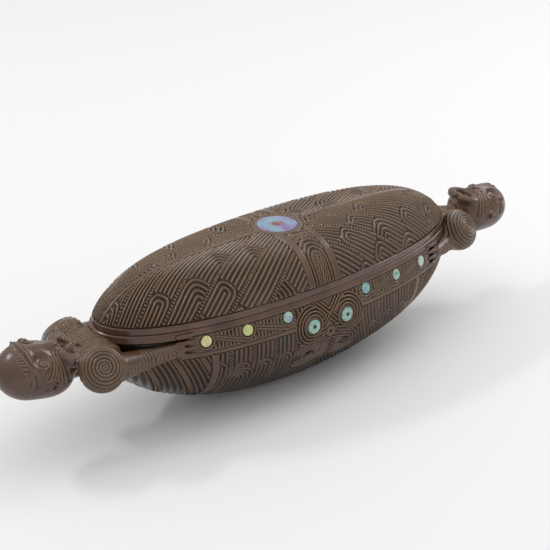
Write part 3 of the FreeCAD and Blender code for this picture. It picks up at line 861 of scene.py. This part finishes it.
def figure_field(figure, p):
    """Distance field of a whole figure."""
    side = figure["side"]
    size = figure["size"]
    chest = figure["chest"]
    field = ellipsoid(p, chest, (21.0, 28.0, 13.0))
    head = figure["head"]
    neck_from = (head[0] - side * 12.0, 0.0, head[2] - 3.0)
    field = blend_union(field, cone_limb(p, neck_from, (chest[0] + side * 4.0, 0.0, 69.0),
                                         12.5 * size, 14.0), 4.0)
    for flank, centre in zip((-1.0, 1.0), figure["shoulders"]):
        plate = lens(p, centre, shoulder_axis(side, flank), PLATE_RADIUS, 11.0, 10.0)
        field = blend_union(field, plate, 5.0)
        start, elbow, wrist = arm_points(figure, flank)
        bulk = figure["elbow"][1]
        arm = cone_limb(p, start, elbow, bulk + 4.0, bulk)
        arm = blend_union(arm, cone_limb(p, elbow, wrist, bulk, 5.2), 2.0)
        field = blend_union(field, arm, 3.0)
        hand = abs(figure["hand_x"])
        for finger in range(4):
            drop = 4.6 + 4.0 * finger
            points = []
            # Root, knuckle and tip: place along the rim, lift off the hull and share of the spread.
            for reach, lift, spread in ((6.0, 0.4, 0.45), (-1.0, 1.0, 1.0), (-7.5, -0.2, 1.0)):
                out = hull_half(hand + reach, drop) + lift
                bow = 0.9 * (finger - 1.5) * spread
                points.append((side * (hand + reach), flank * out, RIM - drop - bow + 0.6))
            bent = cone_limb(p, points[0], points[1], 1.7, 1.75)
            bent = np.minimum(bent, cone_limb(p, points[1], points[2], 1.75, 1.2))
            field = blend_union(field, bent, 0.7)
    field = blend_union(field, head_field(figure, p), 1.8)
    # Nothing deep inside the hull, and nothing in the lid's way.
    field = np.maximum(field, inside_hull(p) - 3.2)
    lid_zone = (plan_reach(p[0], p[1], HALF_LENGTH + 1.0, HALF_WIDTH + 1.0) - 1.0) * HALF_WIDTH
    return np.maximum(field, np.minimum(p[2] - RIM + 0.3, -lid_zone))


def surface_net(field, origin, step):
    """Closed quad mesh of the zero level of a field on a grid."""
    inside = field < 0.0
    total = np.zeros(tuple(n - 1 for n in field.shape) + (3,), np.float32)
    count = np.zeros(total.shape[:3], np.float32)
    corner = [(a, b, c) for a in (0, 1) for b in (0, 1) for c in (0, 1)]

    def part(array, offset):
        """One corner's values of every cell."""
        return array[tuple(slice(offset[i], array.shape[i] - 1 + offset[i]) for i in range(3))]

    for axis in range(3):
        for offset in corner:
            if offset[axis]:
                continue
            other = tuple(o + (1 if i == axis else 0) for i, o in enumerate(offset))
            first = part(field, offset)
            second = part(field, other)
            crosses = part(inside, offset) != part(inside, other)
            share = np.where(crosses, first / np.where(crosses, first - second, 1.0), 0.0)
            for i in range(3):
                value = offset[i] + (share if i == axis else 0.0)
                total[..., i] += np.where(crosses, value, 0.0)
            count += crosses
    active = count > 0
    number = np.full(active.shape, -1, np.int64)
    number[active] = np.arange(int(active.sum()))
    cell = np.stack(np.nonzero(active), -1)
    points = (cell + total[active] / count[active][:, None]) * step + np.array(origin)
    quads = []
    for axis in range(3):
        first = np.take(inside, range(0, inside.shape[axis] - 1), axis)
        second = np.take(inside, range(1, inside.shape[axis]), axis)
        flips = np.stack(np.nonzero(first != second), -1)
        one, two = [i for i in range(3) if i != axis]
        keep = (flips[:, one] > 0) & (flips[:, two] > 0)
        keep &= (flips[:, one] < inside.shape[one] - 1) & (flips[:, two] < inside.shape[two] - 1)
        flips = flips[keep]
        cells = []
        for da, db in ((-1, -1), (0, -1), (0, 0), (-1, 0)):
            spot = flips.copy()
            spot[:, one] += da
            spot[:, two] += db
            cells.append(number[spot[:, 0], spot[:, 1], spot[:, 2]])
        quad = np.stack(cells, -1)
        starts_inside = first[flips[:, 0], flips[:, 1], flips[:, 2]]
        if axis == 1:
            starts_inside = ~starts_inside
        quad[~starts_inside] = quad[~starts_inside][:, ::-1]
        quads.append(quad)
    return points, np.concatenate(quads)


def quad_normals(points, quads):
    """Normals of a mesh's quads, longer for larger quads."""
    return np.cross(points[quads[:, 2]] - points[quads[:, 0]], points[quads[:, 3]] - points[quads[:, 1]])


def vertex_normals(points, quads):
    """Unit normals at the vertices of a quad mesh."""
    face = quad_normals(points, quads)
    normal = np.zeros(points.shape)
    for i in range(3):
        for corner in range(4):
            normal[:, i] += np.bincount(quads[:, corner], face[:, i], len(points))
    return normal / np.maximum(np.linalg.norm(normal, axis=1, keepdims=True), 1e-9)


def relaxed(points, quads, rounds):
    """Points moved towards the average of their neighbours, which evens a surface out."""
    ends = np.concatenate([quads[:, [0, 1]], quads[:, [1, 2]], quads[:, [2, 3]], quads[:, [3, 0]]])
    degree = np.bincount(ends.ravel(), minlength=len(points))
    for _ in range(rounds):
        total = np.zeros(points.shape)
        for i in range(3):
            total[:, i] = np.bincount(ends[:, 0], points[ends[:, 1], i], len(points))
            total[:, i] += np.bincount(ends[:, 1], points[ends[:, 0], i], len(points))
        points = 0.5 * points + 0.5 * total / degree[:, None]
    return points


def figure_pattern(figure, p, normal):
    """Cut depth and plainness on a figure's surface."""
    side = figure["side"]
    size = figure["size"]
    crown, across, face = head_frame(figure, p)
    flank = np.abs(across)
    cut = np.zeros(p[0].shape)
    plain = np.full(p[0].shape, 0.25)
    on_head = side * (p[0] - figure["head"][0]) > -30.0 * size
    head_reach = np.sqrt(crown ** 2 + across ** 2 + face ** 2)
    on_head = on_head & (head_reach < 36.0)
    # Face: arcs round the eyes, over the brow and down the cheeks.
    eye = np.hypot(crown - HEAD_EYE[0], flank - HEAD_EYE[1])
    ear = np.hypot((crown + 2.0) / 5.4, (face + 0.5) / 4.4)
    beside_ear = (ear > 1.45) | (flank < 13.0)
    eye_ring = np.maximum(furrow(eye - 3.6, 0.9), 1.3 * (1.0 - smooth(0.9, 1.6, eye)))
    outer = (eye > 7.2) & (eye < 14.4) & (flank > 9.0) & (face > -1.0)
    outer = outer & (crown - HEAD_EYE[0] < 0.9 * (flank - HEAD_EYE[1]) + 5.0) & beside_ear
    face_cut = np.where(outer, furrows(eye - 8.4, FACE_PITCH), 0.0)
    brow_reach = np.hypot(crown - 1.0, flank * 0.72)
    brow = (brow_reach > 13.8) & (brow_reach < 18.6) & (crown > 9.0) & (face > 3.0) & (eye > 6.6)
    face_cut = np.where(brow, furrows(brow_reach - 15.0, FACE_PITCH), face_cut)
    teeth = bars(flank + 0.5 * crown, 2.1) * window(brow_reach, 18.9, 21.9, 0.5) * (crown > 10.0)
    face_cut = np.maximum(face_cut, 0.8 * teeth * (np.abs(flank - 9.0) < 6.0) * (face > 2.0))
    face_cut = np.where((eye < 5.2) & (face > 6.0), eye_ring, face_cut)
    cheek = np.hypot(crown - HEAD_MOUTH, flank * 0.62)
    cheeks = (cheek > 10.4) & (cheek < 17.6) & (flank > 5.0) & (crown < -2.0) & (face > 0.0)
    cheeks = cheeks & beside_ear
    face_cut = np.where(cheeks & (eye > 9.5), furrows(cheek - 11.4, FACE_PITCH), face_cut)
    nostril = np.hypot(crown + 9.0, flank - 4.4)
    face_cut = np.maximum(face_cut, furrow(nostril - 2.1, 0.8) * (face > 12.0))
    cut = np.where(on_head & (face > -1.0), 0.85 * face_cut, cut)
    ear_zone = on_head & (flank > 15.0) & (ear < 1.5)
    cut = np.where(ear_zone, np.maximum(cut, 0.6 * furrow(ear - 1.15, 0.14)), cut)
    plain = np.where(on_head, 0.65, plain)
    for sign, centre in zip((-1.0, 1.0), figure["shoulders"]):
        # Shoulder: a spiral on the outward face.
        axis = shoulder_axis(side, sign)
        rel = [p[i] - centre[i] for i in range(3)]
        away = np.sqrt(rel[0] ** 2 + rel[1] ** 2 + rel[2] ** 2)
        along = (rel[0] * axis[0] + rel[1] * axis[1] + rel[2] * axis[2]) / np.maximum(away, 1e-6)
        arc = 14.5 * np.arccos(np.clip(along, -1.0, 1.0))
        cross = unit(np.cross(axis, (0.0, 0.0, 1.0)))
        second = np.cross(axis, cross)
        right = sum(rel[i] * cross[i] for i in range(3))
        upward = sum(rel[i] * second[i] for i in range(3))
        swirl = furrows(arc - SPIRAL_PITCH * np.arctan2(upward, right) / (2.0 * np.pi), SPIRAL_PITCH)
        zone = (away < 20.5) & (arc < 23.5) & ~(on_head & (head_reach < 27.0))
        zone = zone & (sign * p[1] > 8.0)
        fade = 1.0 - smooth(22.0, 23.5, arc)
        cut = np.where(zone, swirl * fade, cut)
        plain = np.where(zone, 0.1, plain)
        # Arm: notches between lines, a cuff and a plain hand.
        start, elbow, wrist = arm_points(figure, sign)
        reach = side * (p[0] - wrist[0])
        span = side * (start[0] - wrist[0])
        share = np.clip(reach / span, 0.0, 1.0)
        line_z = wrist[2] + (elbow[2] - wrist[2]) * np.clip(share / 0.5, 0, 1)
        line_z = line_z + (start[2] - elbow[2]) * np.clip(share / 0.5 - 1.0, 0, 1)
        height = p[2] - line_z
        row = bars(p[0], ARM_NOTCH, 0.7) * window(height, -1.9, 1.4, 0.35)
        lines = np.maximum(furrow_pair(height, 2.3, -2.7, 0.7), furrow(height + 4.6, 0.6))
        on_flank = sign * p[1] > 14.0
        outward = on_flank & (away > 18.5) & (sign * normal[:, 1] > 0.15)
        on_arm = outward & (reach > 3.0) & (reach < span)
        cut = np.where(on_arm, 0.75 * np.maximum(row, lines), cut)
        cuff = outward & (reach > 19.0) & (reach < 28.5)
        cut = np.where(cuff, 0.7 * furrows(reach - 19.5, FACE_PITCH), cut)
        plain = np.where((reach < 4.0) & on_flank, 0.9, plain)
    # Chest and neck: lines along the box with rows of small notches.
    chest = figure["chest"]
    on_chest = (side * (p[0] - chest[0]) < 24.0 * size) & (np.abs(p[1]) < 22.0) & (normal[:, 2] > 0.25)
    on_chest = on_chest & ~(head_reach < 27.0)
    group = p[1] / CHEST_BAND
    level = (group - np.floor(group)) * CHEST_BAND
    row = bars(p[0], 2.4) * window(level, 0.5, 2.2, 0.3)
    strands = np.where(level < 2.6, np.maximum(row, furrow(level, 0.6)), furrows(level - 2.6, 2.0))
    cut = np.where(on_chest, 0.8 * strands, cut)
    return np.clip(cut, 0.0, 1.4), plain


def chart_uv(points, quads, grids):
    """Texture places per corner: six flat charts, one for each main direction a face looks in."""
    low = np.array([g[0] for g in grids])
    span = np.array([g[-1] - g[0] for g in grids])
    face = quad_normals(points, quads)
    main = np.abs(face).argmax(1)
    negative = face[np.arange(len(face)), main] < 0.0
    scale = 0.98 / max(2.0 * span[0], span[1] + 2.0 * span[2])
    rows = {2: 0.0, 1: span[1], 0: span[1] + span[2]}
    place = (points[quads] - low)
    uv = np.zeros((len(quads), 4, 2))
    for axis, (first, second) in {2: (0, 1), 1: (0, 2), 0: (1, 2)}.items():
        here = main == axis
        shift = np.where(negative[here], span[0], 0.0)[:, None]
        uv[here, :, 0] = place[here][:, :, first] + shift
        uv[here, :, 1] = place[here][:, :, second] + rows[axis]
    return 0.01 + scale * uv.reshape(-1, 2)


def make_figure(figure):
    """One end figure as a closed mesh with its surface carving."""
    side = figure["side"]
    near_x, far_x, half_y, low_z, high_z = FIGURE_SPACE
    low_x, high_x = sorted((side * near_x, side * far_x))
    grids = [np.arange(low_x, high_x, VOXEL), np.arange(-half_y, half_y, VOXEL),
             np.arange(low_z, high_z, VOXEL)]
    mesh_grid = np.meshgrid(*[g.astype(np.float32) for g in grids], indexing="ij")
    field = figure_field(figure, mesh_grid).astype(np.float32)
    points, quads = surface_net(field, [g[0] for g in grids], VOXEL)
    points = relaxed(points, quads, 2)
    normal = vertex_normals(points, quads)
    cut, plain = figure_pattern(figure, (points[:, 0], points[:, 1], points[:, 2]), normal)
    points = points - normal * (FIGURE_CUT * cut)[:, None]
    ends = np.concatenate([quads[:, [0, 2]], quads[:, [1, 3]]])
    total = np.bincount(ends[:, 0], cut[ends[:, 1]], len(points))
    total = total + np.bincount(ends[:, 1], cut[ends[:, 0]], len(points))
    degree = np.bincount(ends.ravel(), minlength=len(points))
    edge_wear_and_highlight = np.clip(total / np.maximum(degree, 1) - cut, 0.0, 1.0) * 1.4
    return new_object(figure["name"], points, [quads],
                      {"cut": cut, "wear_and_highlight": edge_wear_and_highlight, "plain": plain},
                      chart_uv(points, quads, grids))


# ---- Materials. ----
def node_material(name):
    """New material with its node tree and its surface shader."""
    material = bpy.data.materials.new(name)
    material.use_nodes = True
    tree = material.node_tree
    return material, tree, tree.nodes["Principled BSDF"]


def link(tree, source, target):
    """Link from a node's output to another node's input."""
    tree.links.new(source, target)


def add(tree, kind, values=(), sources=(), **settings):
    """New shader node with settings, values of its inputs and sources linked to its inputs."""
    node = tree.nodes.new("ShaderNode" + kind)
    for key, value in settings.items():
        setattr(node, key, value)
    for socket, value in dict(values).items():
        node.inputs[socket].default_value = value
    for socket, source in dict(sources).items():
        link(tree, source, node.inputs[socket])
    return node


def noise(tree, vector, **values):
    """Noise value at a vector."""
    return add(tree, "TexNoise", values, {"Vector": vector}).outputs["Fac"]


def ramp(tree, value, low, span, stops):
    """Colours with evenly spaced stops over a span of a value."""
    node = add(tree, "ValToRGB", sources={"Fac": value})
    elements = node.color_ramp.elements
    while len(elements) < len(stops):
        elements.new(0.5)
    for index, colour in enumerate(stops):
        elements[index].position = low + span * index / (len(stops) - 1)
        elements[index].color = (*colour, 1.0)
    return node.outputs["Color"]


def mix(tree, kind, factor, first, second):
    """Mix of two colours; each of the three is a number, a colour or another node's output."""
    node = add(tree, "Mix", data_type="RGBA", blend_type=kind)
    for value, index in ((factor, 0), (first, 6), (second, 7)):
        if isinstance(value, tuple):
            node.inputs[index].default_value = (*value, 1.0)
        elif isinstance(value, float):
            node.inputs[index].default_value = value
        else:
            link(tree, value, node.inputs[index])
    return node.outputs[2]


def scaled(tree, value, factor, offset=0.0, clamp=True):
    """A value times a factor, plus an offset."""
    node = add(tree, "Math", {1: factor, 2: offset}, {0: value}, operation="MULTIPLY_ADD", use_clamp=clamp)
    return node.outputs[0]


def surface(tree, shader, colour, rough, gloss, bump):
    """Finish a shader from its colour, its roughness, (specular level, coat, coat roughness) and
    the bump's (height, strength, distance)."""
    link(tree, colour, shader.inputs["Base Color"])
    link(tree, rough, shader.inputs["Roughness"])
    for label, value in zip(("Specular IOR Level", "Coat Weight", "Coat Roughness"), gloss):
        shader.inputs[label].default_value = value
    relief = add(tree, "Bump", {"Strength": bump[1], "Distance": bump[2]}, {"Height": bump[0]})
    link(tree, relief.outputs["Normal"], shader.inputs["Normal"])


def wood_material(name, dark, light, reddish, roughness, low_shade=0.0):
    """Old carved wood: streaked grain, grooves darkened with painted shade, rubbed edges lightened as wear
    and painted highlight, redder plain ribs, and where asked painted shade towards the underside.
    """
    material, tree, shader = node_material(name)
    place = add(tree, "TexCoord").outputs["Object"]
    stretch = add(tree, "Mapping", {"Scale": (9.0, 90.0, 90.0)}, {"Vector": place})
    grain = noise(tree, stretch.outputs["Vector"], Scale=5.0, Detail=6.0, Roughness=0.65)
    cloud = noise(tree, place, Scale=22.0, Detail=3.0)
    stain = noise(tree, place, Scale=55.0, Detail=4.0)
    plain, cut, rubbed_highlight_mask = [add(tree, "Attribute", attribute_name=label).outputs["Fac"]
                          for label in ("plain", "cut", "wear_and_highlight")]
    colour = ramp(tree, grain, 0.32, 0.36, (dark, light))
    colour = mix(tree, "MIX", scaled(tree, plain, 0.75), colour, reddish)
    patch = tuple(0.5 * (a + b) for a, b in zip(dark, reddish))
    colour = mix(tree, "MIX", scaled(tree, cloud, 3.0, -1.05), colour, patch)
    colour = mix(tree, "MULTIPLY", scaled(tree, stain, 3.2, -1.35), colour, (0.52, 0.50, 0.50))
    # Painted shade: the grooves are darkened in step with their cut depth.
    colour = mix(tree, "MIX", scaled(tree, cut, 0.80), colour, tuple(0.20 * c for c in dark))
    # Rubbed ridge tops lightened, partly as wear and partly as a painted highlight.
    colour = mix(tree, "MIX", scaled(tree, rubbed_highlight_mask, 1.5), colour, tuple(1.9 * c for c in light))
    # Painted shade: the wood is darkened towards the underside.
    height = add(tree, "SeparateXYZ", sources={0: place})
    low = add(tree, "MapRange", {"From Min": 0.070, "From Max": 0.012, "To Max": low_shade},
              {"Value": height.outputs["Z"]})
    colour = mix(tree, "MULTIPLY", low.outputs["Result"], colour, (0.18, 0.15, 0.13))
    rough = scaled(tree, cloud, 0.28, roughness - 0.18, False)
    surface(tree, shader, colour, rough, (0.55, 0.10, 0.24), (grain, 0.22, 0.0004))
    return material


def shell_material(name, stops, seed, scale=150.0):
    """Polished sea-ear shell: flowing bands of colour with fine darker growth lines."""
    material, tree, shader = node_material(name)
    place = add(tree, "TexCoord").outputs["Object"]
    shift = add(tree, "Mapping", {"Location": (0.013 * seed, 0.021 * seed, 0.017 * seed)},
                {"Vector": place}).outputs["Vector"]
    flow = noise(tree, shift, Scale=scale, Detail=3.0, Distortion=1.6)
    growth = add(tree, "TexWave", {"Scale": 190.0, "Distortion": 9.0, "Detail": 3.0}, {"Vector": shift})
    colour = mix(tree, "MULTIPLY", 0.35, ramp(tree, flow, 0.30, 0.40, stops), growth.outputs["Color"])
    rough = scaled(tree, flow, 0.16, 0.10, False)
    surface(tree, shader, colour, rough, (0.45, 0.15, 0.08), (growth.outputs["Fac"], 0.12, 0.0002))
    return material


# ---- Inlays and pegs. ----
TURNED_SIDES = 64
INLAY_FOOT = -1.8
INLAY_EDGE = -0.05
INLAY_CROWN = 0.30
INLAY_ROUND = 0.35


def lathe(name, profile, origin, axis, inner_closed):
    """Slightly uneven turned piece from (radius, height) pairs along an axis through origin. It is
    closed by its ends, or down a hole through its middle."""
    turn = np.arange(TURNED_SIDES) * 2.0 * np.pi / TURNED_SIDES
    axis = unit(axis)
    first = unit(np.cross(axis, (0.0, 0.0, 1.0) if abs(axis[2]) < 0.9 else (1.0, 0.0, 0.0)))
    second = np.cross(axis, first)
    wobble = 1.0 + 0.010 * np.sin(2 * turn + origin[0]) + 0.006 * np.sin(5 * turn + origin[1])
    outward = np.cos(turn)[:, None] * first + np.sin(turn)[:, None] * second
    points = np.concatenate([np.array(origin) + height * axis + (radius * wobble)[:, None] * outward
                             for radius, height in profile])
    faces = [ring_quads(len(profile), TURNED_SIDES)]
    last = (len(profile) - 1) * TURNED_SIDES
    if inner_closed:
        low = np.array(origin) + profile[0][1] * axis
        high = np.array(origin) + (profile[-1][1] + 0.01) * axis
        points = np.concatenate([points, [low, high]])
        faces.append(cap_faces(0, TURNED_SIDES, len(points) - 2, False))
        faces.append(cap_faces(last, TURNED_SIDES, len(points) - 1, True))
    else:
        number = np.arange(TURNED_SIDES)
        after = (number + 1) % TURNED_SIDES
        faces.append(np.stack([last + number, last + after, after, number], -1))
    return new_object(name, points, faces, {})


def domed(radius, low, edge, crown, hole=0.0):
    """Profile of an inlay: straight side, small rounded edge and a slightly domed face."""
    flat = radius - INLAY_ROUND
    profile = [(max(hole, 0.3 * radius), low), (radius, low), (radius, edge - 0.25),
               (radius - 0.10, edge - 0.06), (flat, edge)]
    stop = hole + 0.12 if hole else 0.08 * radius
    for step in range(1, 7):
        share = step / 6.0
        reach = flat * (1.0 - share) + stop * share
        profile.append((reach, edge + (crown - edge) * (1.0 - (reach / radius) ** 2)))
    if hole:
        profile.append((hole, profile[-1][1] - 0.12))
    return profile


def surface_place(side, x, drop):
    """Point on the hull's side and the outward direction there."""
    step = 0.5
    y = hull_half(x, drop)
    slope_x = (hull_half(x + step, drop) - hull_half(x - step, drop)) / (2 * step)
    slope_z = -(hull_half(x, drop + step) - hull_half(x, drop - step)) / (2 * step)
    return (x, side * y, RIM - drop), unit((-slope_x, side, -slope_z))


# The hull wood's last number sets the strength of its painted shade towards the underside.
hull_wood = wood_material("hull_wood", (0.042, 0.025, 0.0140), (0.118, 0.068, 0.034),
                          (0.132, 0.056, 0.030), 0.32, 0.85)
lid_wood = wood_material("lid_wood", (0.046, 0.028, 0.0160), (0.140, 0.083, 0.043),
                         (0.122, 0.057, 0.031), 0.27)
peg_red = wood_material("red_peg", (0.20, 0.065, 0.040), (0.34, 0.14, 0.09), (0.28, 0.10, 0.06), 0.4)
peg_dark = wood_material("dark_peg", (0.006, 0.005, 0.004), (0.016, 0.013, 0.011),
                         (0.012, 0.009, 0.007), 0.35)
lid = make_lid()
lid.data.materials.append(lid_wood)
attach(lid, "lid")
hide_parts("lid")
hull = make_hull()
hull.data.materials.append(hull_wood)
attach(hull, "root")
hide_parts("hull")
for figure in FIGURES:
    body = make_figure(figure)
    body.data.materials.append(hull_wood)
    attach(body, "root")
    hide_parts("hull")

# Shell colours, and which of them each side disc has from the left end to the right.
GREEN = (0.12, 0.36, 0.22)
AQUA = (0.24, 0.50, 0.45)
PALE = (0.48, 0.62, 0.53)
LIME = (0.62, 0.66, 0.22)
STRAW = (0.74, 0.72, 0.36)
BLUE = (0.20, 0.36, 0.52)
VIOLET = (0.20, 0.15, 0.36)
LAVENDER = (0.34, 0.30, 0.52)
CREAM = (0.72, 0.68, 0.56)
SHELLS = {
    "outer_left": (LIME, STRAW, LIME), "middle_left": (STRAW, LIME, STRAW),
    "inner_left": (GREEN, PALE, BLUE), "inner_right": (BLUE, AQUA, PALE),
    "middle_right": (GREEN, PALE, AQUA), "outer_right": (CREAM, PALE, CREAM),
}
for face, side_y in (("front", -1.0), ("back", 1.0)):
    for hand, side_x in (("left", -1.0), ("right", 1.0)):
        for rank, (place_x, drop) in zip(("outer", "middle", "inner"), BAND_DISCS):
            node = f"disc_{face}_{rank}_{hand}"
            origin, axis = surface_place(side_y, side_x * place_x, drop)
            disc = lathe(f"{node}_shell", domed(SHELL_RADIUS, INLAY_FOOT, INLAY_EDGE, INLAY_CROWN),
                         origin, axis, True)
            disc.data.materials.append(shell_material(f"shell_{face}_{rank}_{hand}",
                                                      SHELLS[f"{rank}_{hand}"], place_x * side_x))
            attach(disc, "root")
            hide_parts(node)
        origin, axis = surface_place(side_y, side_x * EYE_PLACE[0], EYE_PLACE[1])
        ring = lathe(f"eye_ring_{face}_{hand}_shell",
                     domed(EYE_RADIUS, INLAY_FOOT, INLAY_EDGE, INLAY_CROWN, EYE_HOLE), origin, axis, False)
        ring.data.materials.append(shell_material(f"shell_eye_{face}_{hand}",
                                                  (GREEN, AQUA, PALE, GREEN), 3.0 * side_x + side_y))
        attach(ring, "root")
        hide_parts(f"eye_ring_{face}_{hand}")
        pupil = lathe(f"eye_pupil_{face}_{hand}_peg",
                      domed(PUPIL_RADIUS, -3.5, 0.25, 0.55), origin, axis, True)
        pupil.data.materials.append(peg_dark)
        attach(pupil, "root")
        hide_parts(f"eye_pupil_{face}_{hand}")
top = (0.0, 0.0, LID_SPRING + LID_RISE * CROWN)
upright = (0.0, 0.0, 1.0)
crown_disc = lathe("lid_disc_shell", domed(DISC_RADIUS, INLAY_FOOT, INLAY_EDGE, INLAY_CROWN, DISC_HOLE),
                   top, upright, False)
crown_disc.data.materials.append(shell_material(
    "shell_lid_disc", (AQUA, VIOLET, LAVENDER, BLUE, AQUA, GREEN), 2.0, 48.0))
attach(crown_disc, "lid")
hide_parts("lid_disc")
crown_peg = lathe("lid_disc_peg_wood", domed(PEG_RADIUS, -4.5, 0.5, 0.95), top, upright, True)
crown_peg.data.materials.append(peg_red)
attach(crown_peg, "lid")
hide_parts("lid_disc_peg")

# ---- Camera, light and floor. ----
scene = bpy.context.scene
scene.view_settings.view_transform = "Standard"
target = Vector((-0.00184, 0.0, 0.0774))
azimuth = math.radians(-40.52)
elevation = math.radians(24.86)
distance = 1.503
back = Vector((math.sin(azimuth) * math.cos(elevation), -math.cos(azimuth) * math.cos(elevation),
               math.sin(elevation)))
camera_data = bpy.data.cameras.new("camera")
camera = bpy.data.objects.new("camera", camera_data)
scene.collection.objects.link(camera)
camera_data.sensor_width = 36.0
camera_data.lens = 129.7
camera.location = target + back * distance
camera.rotation_mode = "QUATERNION"
camera.rotation_quaternion = (-back).to_track_quat("-Z", "Y")
scene.camera = camera

world = bpy.data.worlds.new("world")
scene.world = world
world.use_nodes = True
# Brighter overhead than at the horizon, as under a large soft ceiling light.
sky = world.node_tree
direction = add(sky, "TexCoord").outputs["Generated"]
height = add(sky, "SeparateXYZ", sources={0: direction})
level = add(sky, "MapRange", {"To Min": 0.60, "To Max": 0.90}, {"Value": height.outputs["Z"]})
link(sky, level.outputs["Result"], sky.nodes["Background"].inputs["Strength"])
sky.nodes["Background"].inputs["Color"].default_value = (1.0, 1.0, 1.0, 1.0)


def area(name, place, aim, size, power):
    """Soft rectangular light that faces a point."""
    data = bpy.data.lights.new(name, "AREA")
    data.shape = "RECTANGLE"
    data.size = size[0]
    data.size_y = size[1]
    data.energy = power
    light = bpy.data.objects.new(name, data)
    scene.collection.objects.link(light)
    light.location = place
    light.rotation_mode = "QUATERNION"
    light.rotation_quaternion = (Vector(aim) - Vector(place)).to_track_quat("-Z", "Y")


area("key", (1.25, -0.10, 1.0), (0.05, 0, 0.05), (0.7, 0.7), 5.6)
area("top", (0.0, -0.3, 2.1), (0, 0, 0), (1.8, 1.8), 3.4)
area("strip_left", (-0.75, 0.95, 1.30), (-0.1, 0, 0.08), (0.40, 0.14), 5.2)
material, tree, shader = node_material("floor")
cloud = add(tree, "TexNoise", {"Scale": 0.6})
shade = ramp(tree, cloud.outputs["Fac"], 0.0, 1.0, ((0.84, 0.84, 0.84), (0.88, 0.88, 0.88)))
link(tree, shade, shader.inputs["Base Color"])
shader.inputs["Roughness"].default_value = 0.6
bpy.ops.mesh.primitive_plane_add(size=8)
floor = bpy.context.object
floor.name = "floor"
floor.data.materials.append(material)
